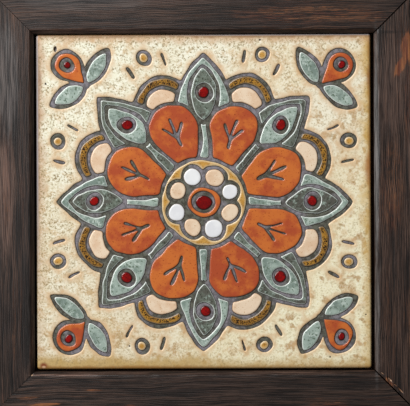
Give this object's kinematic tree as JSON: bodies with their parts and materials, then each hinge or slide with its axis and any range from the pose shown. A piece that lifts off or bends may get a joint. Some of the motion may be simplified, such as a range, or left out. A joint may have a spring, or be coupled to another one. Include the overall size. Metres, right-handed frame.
{
  "type": "framed earthenware tile",
  "caption": "Square glazed earthenware tile with a dark-lined rosette, bedded on a board in a mitred dark-stained wooden tray frame.",
  "frame": {"origin": "middle of the frame's back, on the plane that the rails rest on", "axes": "+Z out of the glazed face, +X to the right and +Y up the picture side when it hangs on a wall"},
  "size_m": [0.247, 0.2452, 0.016],
  "materials": {
    "glazed_earthenware": "satin cream ground with glossy coloured glazes between matt dark lines",
    "stained_softwood": "dark brown stain with a satin wax, rubbed through in places",
    "hardboard": "matt, meshed back"
  },
  "bodies": {
    "root": {"tile": "glazed_earthenware", "rail_top": "stained_softwood", "rail_bottom": "stained_softwood", "rail_left": "stained_softwood", "rail_right": "stained_softwood", "backing_board": "hardboard"}
  },
  "joints": []
}
